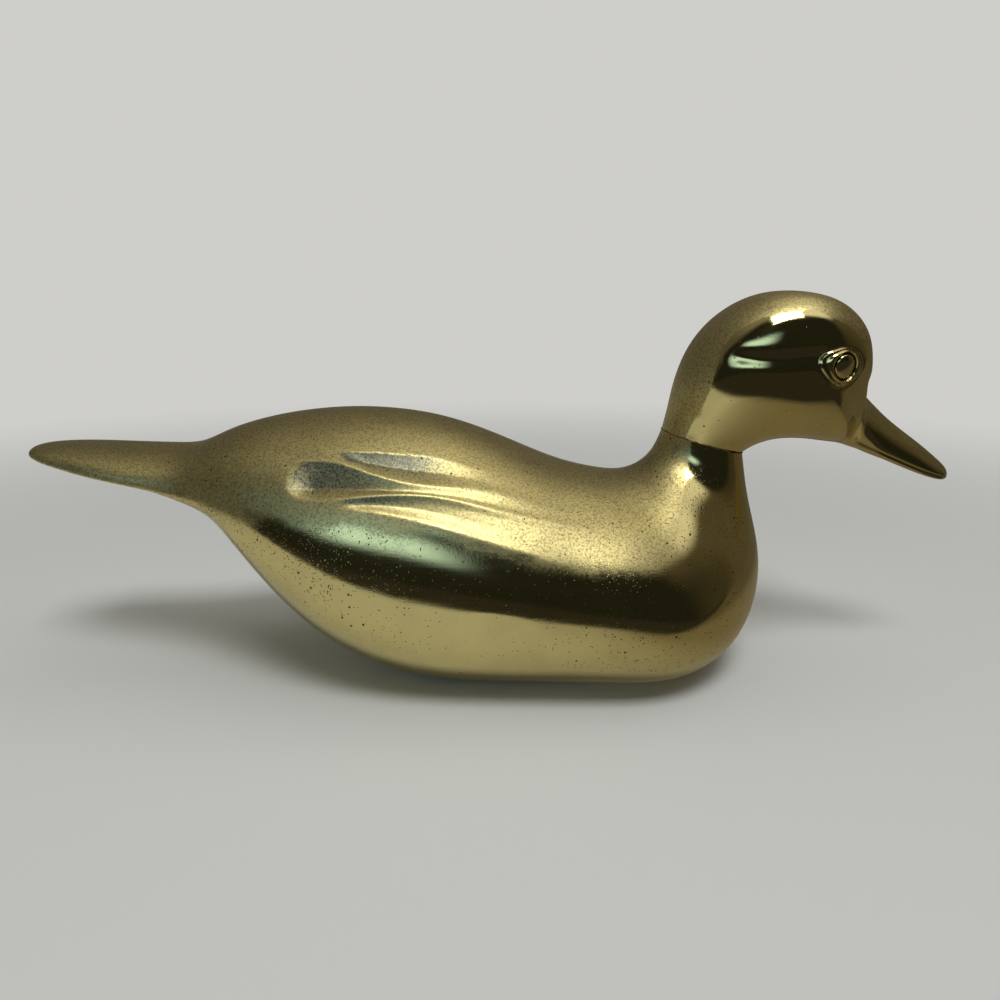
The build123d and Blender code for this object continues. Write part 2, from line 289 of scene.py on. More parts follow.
def inset(rows, depth):
    """Sections drawn inwards by a depth on all sides."""
    drawn = rows.copy()
    up = rows[:, 0:2] - rows[:, 2:4]
    height = np.linalg.norm(up, axis=1)
    step = up / height[:, None] * depth
    drawn[:, 0:2] -= step
    drawn[:, 2:4] += step
    drawn[:, 4] -= depth
    drawn[:, 5] = (rows[:, 5] * height - depth) / (height - 2 * depth)
    return drawn


def lifted(rows, distance):
    """Sections moved along their own normal, towards the bill."""
    moved = rows.copy()
    up = rows[:, 0:2] - rows[:, 2:4]
    up = up / np.linalg.norm(up, axis=1)[:, None]
    normal = np.stack([up[:, 1], -up[:, 0]], -1)
    moved[:, 0:2] += normal * distance
    moved[:, 2:4] += normal * distance
    return moved


def section_points(rows, around):
    """Points round each section. Around is 0 at the keel, 1 at the back and 2 at the keel again, up the
    right side and down the left. Each quarter is a cubic from the side to the crest, with its inner control
    points pulled out along the tangents by the fullness, 0.5523 for an ellipse."""
    back, keel = rows[:, None, 0:2], rows[:, None, 2:4]
    half, widest, above, below, crest = (rows[:, None, k] for k in range(4, 9))
    height = 1 - np.abs(1 - around)
    upper = height >= 0.5
    t = np.abs(2 * height - 1)
    steep = np.where(upper, above, below)
    broad = np.where(upper, crest, below)
    side = (1 - t) ** 3 + 3 * (1 - t) ** 2 * t + 3 * broad * (1 - t) * t**2
    rise = 3 * steep * (1 - t) ** 2 * t + 3 * (1 - t) * t**2 + t**3
    share = np.where(upper, widest + (1 - widest) * rise, widest * (1 - rise))
    xz = keel + (back - keel) * share[..., None]
    return np.stack([xz[..., 0], np.sign(around - 1) * half * side, xz[..., 1]], -1)


def normals_of(points, ring=False):
    """Unit normals of a grid: the slope along it crossed with the slope round it."""
    along = np.gradient(points, axis=0)
    if ring:
        about = np.roll(points, -1, axis=1) - np.roll(points, 1, axis=1)
    else:
        about = np.gradient(points, axis=1)
    normal = np.cross(along, about)
    return normal / np.maximum(np.linalg.norm(normal, axis=-1, keepdims=True), 1e-9)


def smooth_step(low, high, value):
    """0 below low, 1 above high and an S between them."""
    t = np.clip((value - low) / (high - low), 0, 1)
    return t * t * (3 - 2 * t)


def bell(distance, width):
    """1 at no distance, falling off to both sides over the width."""
    return np.exp(-((distance / width) ** 2))


def height_on(line, x):
    """Height of a line at x, smooth through its points and level beyond its ends."""
    line = np.array(line, float)
    at = np.clip(x, line[0, 0], line[-1, 0])
    return natural_spline(line[:, 0], line[:, 1:], at.ravel())[:, 0].reshape(x.shape)


def line_distance(x, z, line):
    """Distance from each place to a broken line, and the share of the line run at its nearest point."""
    line = np.array(line, float)
    length = np.linalg.norm(np.diff(line, axis=0), axis=1)
    run = np.r_[0.0, np.cumsum(length)] / length.sum()
    best = np.full(x.shape, np.inf)
    share = np.zeros(x.shape)
    for k in range(len(length)):
        dx, dz = (line[k + 1] - line[k]) / length[k]
        along = np.clip((x - line[k, 0]) * dx + (z - line[k, 1]) * dz, 0, length[k])
        distance = np.hypot(x - line[k, 0] - along * dx, z - line[k, 1] - along * dz)
        nearer = distance < best
        best = np.where(nearer, distance, best)
        share = np.where(nearer, run[k] + along / length.sum(), share)
    return best, share


# Relief of the body and the head

def polish_waves(x, z, lengths, sway):
    """Waves of hand polishing, from -1 to 1: a wave along the duck, shifted by the sway, times a wave up it
    that drifts along the duck."""
    along, up, drift = lengths
    return np.sin(x / along + sway) * np.sin(z / up + x / drift)


def flute_places(x, z, flute):
    """Share of the way across a flute from its upper edge to its lower one, the flute's height, and its
    strength: nothing behind its rear end, which slants or bows, and fading towards the shoulder."""
    top = height_on(flute.upper, x)
    height = np.maximum(top - height_on(flute.lower, x), FLUTE_LEAST_HEIGHT)
    across = np.clip((top - z) / height, 0, 1)
    start = flute.rear + flute.slant * across + flute.bow * (2 * across - 1) ** 2
    strength = smooth_step(start, start + FLUTE_END, x) * (1 - smooth_step(*flute.fade, x))
    return across, height, strength


def feather_flute(x, z, flute):
    """Depth of a flute. From its upper edge it falls to its lowest place, steeper at first, and it comes
    back to the lower edge half straight and half in an S."""
    across, height, strength = flute_places(x, z, flute)
    fall = np.clip(across / flute.lowest, 0, 1)
    rise = np.clip((1 - across) / (1 - flute.lowest), 0, 1)
    back_up = (rise + smooth_step(0, 1, rise)) / 2
    profile = np.where(across < flute.lowest, fall * (3 - fall) / 2, back_up)
    return flute.depth * height * profile * strength


def feather_crest(x, z, crest):
    """Height of a thin raised line along a feather's edge: a bell across it, with soft ends."""
    along = smooth_step(*crest.rear, x) * (1 - smooth_step(*crest.fade, x))
    return crest.height * bell(z - height_on(crest.line, x), crest.width) * along


def body_relief(points):
    """Height of the wing's flutes and crests, the ridge beside the tail and the waves of hand polishing."""
    x, z = points[..., 0], points[..., 2]
    relief = sum(feather_crest(x, z, crest) for crest in FEATHER_CRESTS)
    relief -= sum(feather_flute(x, z, flute) for flute in WING_FLUTES)
    ridge, run = line_distance(x, z, RUMP_RIDGE)
    relief += RUMP_RIDGE_HEIGHT * bell(ridge, RUMP_RIDGE_WIDTH) * np.sin(math.pi * (0.15 + 0.85 * run))
    waves = polish_waves(x, z, BODY_WAVES, 0.7 * np.sin(z / 9.0))
    return relief + BODY_WAVE_HEIGHT * waves * smooth_step(2.0, 10.0, z)


def oval_radius(angle, reach):
    """Radius of an ellipse at an angle from its length."""
    return reach[0] * reach[1] / np.hypot(reach[1] * np.cos(angle), reach[0] * np.sin(angle))


def lid_places(points, eye):
    """Shares of the way from the eye's middle to its rim, and from there to the outer edge of the lids.
    That edge is an ellipse drawn out at its rear corner."""
    dx, dz = points[..., 0] - eye[0], points[..., 2] - eye[2]
    radius = np.hypot(dx, dz)
    angle = np.arctan2(dz, dx)
    rim = oval_radius(angle, EYE_REACH)
    off_corner = np.angle(np.exp(1j * (angle - LID_CORNER)))
    edge = oval_radius(angle, LID_REACH) + LID_CORNER_REACH * bell(off_corner, LID_CORNER_SPREAD)
    return radius / rim, (radius - rim) / (edge - rim)


def face_plane(points):
    """How far the face lies back: from its edge ever more gently deeper towards the bill, and nothing
    behind the edge, under the brow, at the foot and at the bill's root."""
    x, z = points[..., 0], points[..., 2]
    ahead = np.clip((x - height_on(FACE_EDGE, z)) / FACE_RUN, 0, 1)
    depth = FACE_DEPTH * (1 - (1 - ahead) ** 2)
    front = FACE_FRONT + FACE_FRONT_STEP * (1 - smooth_step(*FACE_FRONT_LEVEL, z))
    level = smooth_step(*FACE_FOOT, z) * (1 - smooth_step(*FACE_BROW, z))
    return depth * level * (1 - smooth_step(0.0, FACE_RUN, x - front))


def head_relief(points, eye):
    """Height of the eye line, the bill's root, the mouth, the lids' ridges, the eye's socket and the waves
    of hand polishing."""
    x, z = points[..., 0], points[..., 2]
    line, run = line_distance(x, z, EYE_LINE)
    relief = -EYE_LINE_DEPTH * bell(line, EYE_LINE_WIDTH) * smooth_step(-0.05, 0.20, run)
    root, run = line_distance(x, z, BILL_ROOT)
    relief -= BILL_ROOT_DEPTH * bell(root, BILL_ROOT_WIDTH) * np.sin(math.pi * (0.1 + 0.8 * run))
    mouth, run = line_distance(x, z, MOUTH_LINE)
    relief -= MOUTH_DEPTH * bell(mouth, MOUTH_WIDTH) * smooth_step(*MOUTH_START, run)
    within, lid = lid_places(points, eye)
    relief += sum(height * bell(lid - place, width) for height, place, width in LID_RIDGES)
    socket = 1 - smooth_step(*SOCKET_RIM, within)
    relief = relief * (1 - socket) - SOCKET_DEPTH * socket
    return relief + HEAD_WAVE_HEIGHT * polish_waves(x, z, HEAD_WAVES, 1.1)


# Grids into meshes
SHARP_ANGLE = math.radians(40)


def sheet_quads(rows, columns, ring=False):
    """Corners of a grid's quads, row by row. A ring joins the last column to the first."""
    last = columns if ring else columns - 1
    row, column = np.meshgrid(np.arange(rows - 1), np.arange(last), indexing="ij")
    here = row * columns
    ahead = here + columns
    beside = (column + 1) % columns
    return np.stack((here + column, ahead + column, ahead + beside, here + beside), -1).reshape(-1, 4)


def pole_fan(pole, row, ring=False, last=False):
    """Triangles from a pole to a row of points, before the first row of a sheet or after its last."""
    beside = np.roll(row, -1) if ring else row[1:]
    start = row if ring else row[:-1]
    middle = np.full(len(start), pole)
    order = (start, middle, beside) if last else (middle, start, beside)
    return np.stack(order, -1)


def capped_faces(rows, columns):
    """Corners of rings in rows that are closed by a pole at each end, numbered after the rings."""
    numbers = np.arange(rows * columns).reshape(rows, columns)
    return [
        sheet_quads(rows, columns, ring=True),
        pole_fan(rows * columns, numbers[0], ring=True),
        pole_fan(rows * columns + 1, numbers[-1], ring=True, last=True),
    ]


def turned_over(faces):
    """The same faces with their corners in the other order, for a mirrored piece."""
    return [group[:, ::-1] for group in faces]


def add_piece(name, points, faces, node, material):
    """Makes a shown piece of points in millimetres and arrays of corners, to stand for its CAD node."""
    mesh = bpy.data.meshes.new(name)
    mesh.from_pydata(points * MM, [], sum((group.tolist() for group in faces), []))
    mesh.polygons.foreach_set("use_smooth", np.ones(len(mesh.polygons), bool))
    mesh.set_sharp_from_angle(angle=SHARP_ANGLE)
    mesh.materials.append(material)
    mesh.update()
    piece = bpy.data.objects.new(name, mesh)
    bpy.context.scene.collection.objects.link(piece)
    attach(piece, "root")
    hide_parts(node)
    return piece


def paint(piece, **layers):
    """Keeps numbers for each point of a piece under names that its material reads."""
    for name, values in layers.items():
        attribute = piece.data.attributes.new(name, "FLOAT", "POINT")
        attribute.data.foreach_set("value", np.asarray(values, np.float32))


# Node helpers

def feed(tree, socket, value):
    """Gives a socket another socket's output, a colour or a number."""
    if isinstance(value, bpy.types.NodeSocket):
        tree.links.new(value, socket)
    elif socket.type == "RGBA":
        socket.default_value = (*value, 1.0)
    else:
        socket.default_value = value


def add_node(tree, kind, **settings):
    """A shader node with its properties set and its inputs fed by name."""
    node = tree.nodes.new("ShaderNode" + kind)
    for name, value in settings.items():
        if hasattr(node, name):
            setattr(node, name, value)
        else:
            feed(tree, node.inputs[name], value)
    return node


def fed_node(tree, kind, values, **settings):
    """A node with its properties set and its first inputs fed in order."""
    node = add_node(tree, kind, **settings)
    for socket, value in zip(node.inputs, values):
        feed(tree, socket, value)
    return node.outputs[0]


def math_node(tree, operation, first, second):
    """A difference or comparison of two sockets or numbers."""
    return fed_node(tree, "Math", (first, second), operation=operation)


def total(tree, first, second):
    """The sum of two sockets or numbers."""
    return math_node(tree, "ADD", first, second)


def product(tree, first, second):
    """The product of two sockets or numbers."""
    return math_node(tree, "MULTIPLY", first, second)


def ramp_node(tree, value, low, high, to_low=0.0, to_high=1.0):
    """A value taken from the range low to high into another range, with an S between them."""
    values = (value, low, high, to_low, to_high)
    return fed_node(tree, "MapRange", values, interpolation_type="SMOOTHSTEP")


def mix_colour(tree, factor, first, second):
    """A mix of two colours, each a socket or a colour."""
    node = add_node(tree, "Mix", data_type="RGBA")
    for number, value in ((0, factor), (6, first), (7, second)):
        feed(tree, node.inputs[number], value)
    return node.outputs[2]


def mix_shader(tree, factor, first, second):
    """A mix of two shaders."""
    return fed_node(tree, "MixShader", (factor, first, second))


def new_group(name, inputs, output):
    """An empty shader group with a vector input, number inputs and one number output."""
    group = bpy.data.node_groups.new(name, "ShaderNodeTree")
    group.interface.new_socket("Vector", in_out="INPUT", socket_type="NodeSocketVector")
    for socket in inputs:
        group.interface.new_socket(socket, in_out="INPUT", socket_type="NodeSocketFloat")
    group.interface.new_socket(output, in_out="OUTPUT", socket_type="NodeSocketFloat")
    return group, group.nodes.new("NodeGroupInput").outputs, group.nodes.new("NodeGroupOutput").inputs


PIT_LEAST_SIZE = 0.25
PIT_FLOOR = 0.45
GRAIN_STEPS = (1.0, 2.3)
STREAK_TILT = math.radians(12)


def make_pit_group():
    """Casting pits: some cells of a cell pattern, picked by chance up to the density, hold a small round
    pit with a flat floor."""
    group, given, result = new_group("casting_pits", ("Scale", "Density", "Size"), "Pits")
    cells = add_node(group, "TexVoronoi", Vector=given["Vector"], Scale=given["Scale"])
    chance = add_node(group, "SeparateColor", Color=cells.outputs["Color"]).outputs
    picked = math_node(group, "LESS_THAN", chance["Red"], given["Density"])
    size = product(group, total(group, chance["Green"], PIT_LEAST_SIZE), given["Size"])
    floor = product(group, size, PIT_FLOOR)
    pit = ramp_node(group, cells.outputs["Distance"], floor, size, 1.0, 0.0)
    feed(group, result["Pits"], product(group, pit, picked))
    return group


def make_grain_group():
    """Fine grain of a buffed casting: a fine noise and a finer one on top of it."""
    group, given, result = new_group("buffed_grain", ("Scale",), "Height")
    heights = []
    for finer in GRAIN_STEPS:
        scale = product(group, given["Scale"], finer)
        noise = add_node(group, "TexNoise", Vector=given["Vector"], Scale=scale, Detail=1.0, Roughness=0.6)
        heights.append(noise.outputs["Fac"])
    feed(group, result["Height"], total(group, *heights))
    return group


def make_noise_group(name, output, detail, roughness, low, high, drawn_out=None):
    """A noise with the range low to high stretched; streaks are drawn out along the duck and tilted."""
    group, given, result = new_group(name, ("Scale",), output)
    where = given["Vector"]
    if drawn_out:
        tilt = (0.0, STREAK_TILT, 0.0)
        mapping = add_node(group, "Mapping", Vector=where, Rotation=tilt, Scale=drawn_out)
        where = mapping.outputs["Vector"]
    scale = given["Scale"]
    noise = add_node(group, "TexNoise", Vector=where, Scale=scale, Detail=detail, Roughness=roughness)
    feed(group, result[output], ramp_node(group, noise.outputs["Fac"], low, high))
    return group


pit_group = make_pit_group()
grain_group = make_grain_group()
cloud_group = make_noise_group("tarnish_clouds", "Cloud", 4.0, 0.62, 0.34, 0.68)
speckle_group = make_noise_group("satin_speckle", "Speckle", 2.0, 0.70, 0.42, 0.64)
streak_group = make_noise_group("polish_streaks", "Streak", 3.0, 0.65, 0.30, 0.70, (0.06, 1.0, 1.0))

# Brass, in scene-linear colour
BRASS = (0.66, 0.55, 0.235)
TARNISHED_BRASS = (0.46, 0.38, 0.17)
SPECKLE_BRASS = (0.25, 0.205, 0.095)
# casting skin in the flutes, also used as painted shade under their upper edges
CASTING_SKIN_AND_SHADE = (0.105, 0.105, 0.080)
PIT_BROWN = (0.060, 0.042, 0.020)
FILLER_BRASS = (0.42, 0.32, 0.14)

# How many cells of a pattern there are to a metre, and the size of pits as a share of a cell
CLOUD_SCALE = 55.0
PATCH_SCALE = 150.0
SEAM_PATCH_SCALE = 260.0
STREAK_SCALE = 420.0
SPECKLE_SCALE = 1500.0
GRAIN_SCALE = 2300.0
SEAM_GRAIN_SCALE = 900.0
FINE_PITS = {"Scale": 1500.0, "Size": 0.36}
COARSE_PITS = {"Scale": 800.0, "Size": 0.34}
LONE_PITS = {"Scale": 900.0, "Size": 0.40, "Density": 0.08}

# How much each pattern does to the brass
CLOUD_TINT = 0.28
CLOUD_DULLING = 0.3
SPECKLE_DULLING = 0.12
DULL_RANGE = (0.20, 1.10)
SPECKLE_COVER = 0.68
SKIN_AND_SHADE_COVER = (0.64, 0.96)
PATCH_FLOOR = 0.12
COARSE_SHARE = 0.22
STREAK_ROUGHNESS = 0.05
DARKENED_ROUGHNESS = 0.3
POLISHED_GRAIN = 0.12
PIT_HEIGHT = 0.8
STREAK_HEIGHT = 0.12


def place_group(tree, group, where, **values):
    """A group in a material, fed with the object's own coordinates and its values."""
    return add_node(tree, "Group", node_tree=group, Vector=where, **values).outputs[0]


def attribute_value(tree, name):
    """The number that a piece keeps for each point under a name."""
    return add_node(tree, "Attribute", attribute_name=name).outputs["Fac"]


def new_material(name, metallic):
    """A material, with its node tree, its shader and the coordinates of the object that wears it."""
    material = bpy.data.materials.new(name)
    material.use_nodes = True
    tree = material.node_tree
    shader = tree.nodes["Principled BSDF"]
    shader.inputs["Metallic"].default_value = metallic
    return material, tree, shader, add_node(tree, "TexCoord").outputs["Object"]


def add_bump(tree, shader, height, strength, distance):
    """Bumps from a height that stands for so many millimetres."""
    bump = add_node(tree, "Bump", Strength=strength, Distance=distance * MM, Height=height)
    feed(tree, shader.inputs["Normal"], bump.outputs["Normal"])


def make_brass(name, gloss, satin, grain_height, painted=True):
    """Polished brass, clouded by tarnish. A painted piece turns satin and speckled, pitted, darkened in
    creases, and dark with casting skin and painted shade where it is painted so. The others are satin in
    clouds and have a few pits."""
    material, tree, shader, where = new_material(name, metallic=1.0)
    cloud = place_group(tree, cloud_group, where, Scale=CLOUD_SCALE)
    streak = place_group(tree, streak_group, where, Scale=STREAK_SCALE)
    grain = place_group(tree, grain_group, where, Scale=GRAIN_SCALE)
    tint = mix_colour(tree, product(tree, cloud, CLOUD_TINT), BRASS, TARNISHED_BRASS)
    if painted:
        speckle = place_group(tree, speckle_group, where, Scale=SPECKLE_SCALE)
        uneven = total(tree, product(tree, cloud, CLOUD_DULLING), product(tree, speckle, SPECKLE_DULLING))
        dull = ramp_node(tree, total(tree, attribute_value(tree, "satin"), uneven), *DULL_RANGE)
        grains = product(tree, product(tree, speckle, dull), SPECKLE_COVER)
        tint = mix_colour(tree, grains, tint, SPECKLE_BRASS)
        cover = ramp_node(tree, speckle, 0.0, 0.9, *SKIN_AND_SHADE_COVER)
        # dark flute patches: speckled casting skin with painted shade
        tint = mix_colour(tree, product(tree, attribute_value(tree, "skin"), cover), tint, CASTING_SKIN_AND_SHADE)
        patch = place_group(tree, cloud_group, where, Scale=PATCH_SCALE)
        density = product(tree, attribute_value(tree, "pitting"), total(tree, patch, PATCH_FLOOR))
        fine_pits = place_group(tree, pit_group, where, Density=density, **FINE_PITS)
        sparse = product(tree, density, COARSE_SHARE)
        coarse_pits = place_group(tree, pit_group, where, Density=sparse, **COARSE_PITS)
        pits = math_node(tree, "MAXIMUM", fine_pits, coarse_pits)
        dark = math_node(tree, "MAXIMUM", pits, attribute_value(tree, "crease"))
    else:
        dull = cloud
        pits = place_group(tree, pit_group, where, **LONE_PITS)
        dark = pits
    feed(tree, shader.inputs["Base Color"], mix_colour(tree, dark, tint, PIT_BROWN))
    rough = ramp_node(tree, dull, 0.0, 1.0, gloss, satin)
    rough = total(tree, rough, product(tree, streak, STREAK_ROUGHNESS))
    feed(tree, shader.inputs["Roughness"], total(tree, rough, product(tree, dark, DARKENED_ROUGHNESS)))
    grained = total(tree, product(tree, dull, 1 - POLISHED_GRAIN), POLISHED_GRAIN)
    height = math_node(tree, "SUBTRACT", product(tree, grain, grained), product(tree, pits, PIT_HEIGHT))
    height = total(tree, height, product(tree, streak, STREAK_HEIGHT))
    add_bump(tree, shader, height, 1.0, grain_height)
    return material


def make_filler(name):
    """Dull filler, darkened in patches where dirt sits in the seam."""
    material, tree, shader, where = new_material(name, metallic=1.0)
    patch = place_group(tree, cloud_group, where, Scale=SEAM_PATCH_SCALE)
    feed(tree, shader.inputs["Base Color"], mix_colour(tree, patch, PIT_BROWN, FILLER_BRASS))
    feed(tree, shader.inputs["Roughness"], ramp_node(tree, patch, 0.0, 1.0, 0.65, 0.35))
    add_bump(tree, shader, place_group(tree, grain_group, where, Scale=SEAM_GRAIN_SCALE), 0.8, 0.06)
    return material


body_brass = make_brass("body_brass", gloss=0.07, satin=0.36, grain_height=0.026)
head_brass = make_brass("head_brass", gloss=0.05, satin=0.40, grain_height=0.022)
eye_brass = make_brass("eye_brass", gloss=0.05, satin=0.12, grain_height=0.004, painted=False)
plug_brass = make_brass("plug_brass", gloss=0.30, satin=0.45, grain_height=0.020, painted=False)
seam_filler = make_filler("seam_filler")

# Body: each half is one sheet that runs along the outside from the tail to the neck and back along the
# hollow. The grid is gathered at the wing: place, width and height of the bell in its density.
OUTER_ROWS = 421
HOLLOW_STEP = 5
SIDE_COLUMNS = 200
ROWS_AT_WING = (0.50, 0.15, 1.3)
COLUMNS_AT_WING = (0.74, 0.10, 1.8)
BASE_ROUNDING = 0.5
BASE_SINK = BASE_ROUNDING / 20
TAIL_CAP = (0.3, 0, 0)

body_stations = measured(BODY_STATIONS)
body_shares = gathered(OUTER_ROWS, *ROWS_AT_WING)
side_shares = gathered(SIDE_COLUMNS, *COLUMNS_AT_WING)
body_rows = rows_along(body_stations, body_shares)
hollow_start = travel(body_stations)[FIRST_HOLLOW_STATION] / travel(body_stations)[-1]
hollow_count = int((OUTER_ROWS - np.searchsorted(body_shares, hollow_start)) / HOLLOW_STEP)
first_hollow = OUTER_ROWS - 1 - HOLLOW_STEP * hollow_count


def body_half():
    """Points of the right half's sheet: sections with their relief, then the hollow's, one wall further in.
    The base is levelled with a small rounding, and half the seam is left free."""
    outside = section_points(body_rows, side_shares)
    outside = outside + normals_of(outside) * body_relief(outside)[..., None]
    hollow_rows = inset(body_rows[first_hollow + HOLLOW_STEP::HOLLOW_STEP], WALL)
    points = np.concatenate([outside, section_points(hollow_rows, side_shares)[::-1]])
    points[..., 2] = (points[..., 2] + np.sqrt(points[..., 2] ** 2 + BASE_ROUNDING**2)) / 2
    points[:OUTER_ROWS, :, 2] -= BASE_SINK
    points[OUTER_ROWS:, :, 2] = np.maximum(points[OUTER_ROWS:, :, 2], WALL)
    points[..., 1] -= BODY_SEAM / 2
    points[..., 1] = np.maximum(points[..., 1], -BODY_WIDTH / 2)
    return points


def half_faces(rows, columns):
    """Corners of a half's sheet and of its end fans, corners of its face on the middle plane, and the loop
    of points round that face. The face is one strip from keel to back along the solid tail, and beside the
    hollow a strip of longer faces at the keel and another at the back."""
    numbers = np.arange(rows * columns).reshape(rows, columns)
    tail_pole, hollow_pole = rows * columns, rows * columns + 1
    fans = [pole_fan(tail_pole, numbers[0]), pole_fan(hollow_pole, numbers[-1], last=True)]
    keel, back = numbers[:OUTER_ROWS, 0], numbers[:OUTER_ROWS, -1]
    keel_in = np.r_[hollow_pole, numbers[OUTER_ROWS:, 0][::-1]]
    back_in = np.r_[hollow_pole, numbers[OUTER_ROWS:, -1][::-1]]
    k = first_hollow
    tail_strip = np.stack([keel[:k], back[:k], back[1:k + 1], keel[1:k + 1]], -1)
    beside = np.arange(k, OUTER_ROWS - 1, HOLLOW_STEP)[:, None] + np.arange(HOLLOW_STEP + 1)
    keel_strip = np.column_stack([keel[beside][:, ::-1], keel_in[:-1], keel_in[1:]])
    back_strip = np.column_stack([back[beside], back_in[1:], back_in[:-1]])
    ends = np.array([(tail_pole, back[0], keel[0]), (keel[k], back[k], hollow_pole)])
    loop = np.r_[tail_pole, keel, keel_in[::-1], back_in[1:], back[::-1]]
    return [sheet_quads(rows, columns), *fans], [tail_strip, keel_strip, back_strip, ends], loop


half_points = body_half()
half_rows, half_columns = half_points.shape[:2]
skin, plane, seam_loop = half_faces(half_rows, half_columns)
tail_middle = (half_points[0, 0] + half_points[0, -1]) / 2 - TAIL_CAP
hollow_end = section_points(inset(body_rows[[first_hollow]], WALL), np.array([0.0, 1.0]))
hollow_middle = hollow_end.mean(axis=(0, 1))
hollow_middle[1] = -BODY_SEAM / 2
right_points = np.vstack([half_points.reshape(-1, 3), tail_middle, hollow_middle])

# Pitted spots of the body: x and z of the middle, length, height and amount
PITTED_SPOTS = (
    (-66, 62, 22, 14, 0.9), (-52, 40, 26, 16, 0.8), (48, 22, 26, 12, 0.7), (72, 44, 12, 16, 0.6),
    (58, 62, 14, 14, 1.0), (42, 54, 24, 12, 1.0),
)
LEAST_PITTING = 0.07
HEAD_PITTING = 0.10
SATIN_STEP = (-9.0, 8.0)


def satin_of_body(x, z):
    """How satin the body is: fully above a line under the wing that rises to the neck, not at all below."""
    return smooth_step(*SATIN_STEP, z - height_on(SATIN_EDGE, x))


def pitting_of_body(x, z):
    """How pitted the body is: most on the rump, the rear flank, the shoulder and low on the breast."""
    pitting = np.full(x.shape, LEAST_PITTING)
    for spot_x, spot_z, length, height, amount in PITTED_SPOTS:
        pitting += amount * bell(x - spot_x, length) * bell(z - spot_z, height)
    return np.clip(pitting, 0, 1)


def skin_and_shade_of_body(x, z):
    """How much casting skin is left in the flutes, where a polishing wheel doesn't reach, together with
    painted
    shade: most under the upper edge and near the rear end."""
    skin = np.zeros(x.shape)
    for flute in WING_FLUTES:
        across, _, strength = flute_places(x, z, flute)
        under_edge = smooth_step(0.0, 0.06, across) * (1 - smooth_step(*flute.skin_end, across))
        kept = np.minimum(1, 4 * strength) * (1 - smooth_step(*flute.skin_fade, x))
        skin = np.maximum(skin, flute.skin * under_edge * kept)
    return skin


# Vent: a round hole under the left half, so many rings of the grid wide, filled by its plug
VENT_RADIUS = 3.5
VENT_RINGS = 7
VENT_ROOF = WALL - 0.1
plug_low, plug_high = (np.array(corner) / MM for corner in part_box("vent_plug"))
plug_radius = (plug_high[0] - plug_low[0]) / 2
plug_middle = (plug_low + plug_high) / 2


def with_vent(points):
    """The left half with the vent sunk into its base: a square patch of the grid is drawn onto circles
    round the plug, the outermost on the base and the others up at the hole's roof."""
    sunk = points.copy()
    sheet = sunk[:half_rows * half_columns].reshape(half_rows, half_columns, 3)
    apart = np.linalg.norm(sheet[:OUTER_ROWS] - plug_middle * (1, 1, 0), axis=-1)
    row, column = np.unravel_index(np.argmin(apart), apart.shape)
    step = np.arange(-VENT_RINGS, VENT_RINGS + 1)
    along, across = np.meshgrid(step, step, indexing="ij")
    ring = np.maximum(np.abs(along), np.abs(across))
    angle = np.arctan2(across, along)
    radius = VENT_RADIUS * np.minimum(1, ring / (VENT_RINGS - 1))
    patch = sheet[row - VENT_RINGS:row + VENT_RINGS + 1, column - VENT_RINGS:column + VENT_RINGS + 1]
    patch[..., 0] = plug_middle[0] + radius * np.cos(angle)
    patch[..., 1] = plug_middle[1] + radius * np.sin(angle)
    patch[..., 2] = np.where(ring == VENT_RINGS, patch[..., 2], VENT_ROOF)
    return sunk


def add_body_half(name, node, mirrored):
    """One half of the body, the left one as the mirror of the right with the vent in its base."""
    points = with_vent(right_points * (1, -1, 1)) if mirrored else right_points
    faces = turned_over(skin + plane) if mirrored else skin + plane
    piece = add_piece(name, points, faces, node, body_brass)
    x, _, z = points.T
    # skin: casting skin with painted shade in the flutes
    paint(piece, satin=satin_of_body(x, z), pitting=pitting_of_body(x, z), skin=skin_and_shade_of_body(x, z))
    paint(piece, crease=np.zeros(len(points)))


add_body_half("right_body_half", "right_body_shell", mirrored=False)
add_body_half("left_body_half", "left_body_shell", mirrored=True)


def add_seam():
    """The filler between the halves: their middle face, as thick as the seam."""
    count = len(seam_loop)
    start = np.arange(count)
    place = np.zeros(len(right_points), int)
    place[seam_loop] = start
    right = right_points[seam_loop]
    points = np.vstack([right, right * (1, -1, 1)])
    left_faces = [place[group] + count for group in plane]
    right_faces = turned_over([place[group] for group in plane])
    beside = np.roll(start, -1)
    rim = np.stack([start, start + count, beside + count, beside], -1)
    faces = [*right_faces, *left_faces, rim]
    add_piece("body_seam_web", points, faces, "body_seam_braze", seam_filler)


add_seam()

# Head: one sheet from the front of its hollow, down the bore and up the spigot to the rim, and out to the
# bill. The grid is gathered at the eye.
HEAD_ROWS = 300
HEAD_COLUMNS = 268
HOLLOW_ROWS = 26
ROWS_AT_EYE = (0.06, 4.0)
COLUMNS_AT_EYE = (0.53, 0.075, 3.2)
BILL_CAP = (0.5, 0, -0.25)

neck_row = measured((NECK_STATION,))
seat_row = lifted(neck_row, NECK_SEAM)
skull_stations = np.vstack([seat_row, measured(SKULL_STATIONS)])
head_stations = np.vstack([skull_stations, measured(FACE_STATIONS)])
eye_low, eye_high = (np.array(corner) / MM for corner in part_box("right_eye"))
eye_middle = (eye_low + eye_high) / 2

head_shares = gathered(HEAD_ROWS, share_at(head_stations, eye_middle[0]), *ROWS_AT_EYE)
half_ring = gathered(HEAD_COLUMNS // 2 + 1, *COLUMNS_AT_EYE)
ring_shares = np.r_[half_ring[:-1], 2 - half_ring[:0:-1]]
head_base = section_points(rows_along(head_stations, head_shares), ring_shares)
head_base = head_base - normals_of(head_base, ring=True) * face_plane(head_base)[..., None]
head_normals = normals_of(head_base, ring=True)
head_outside = head_base + head_normals * head_relief(head_base, eye_middle)[..., None]

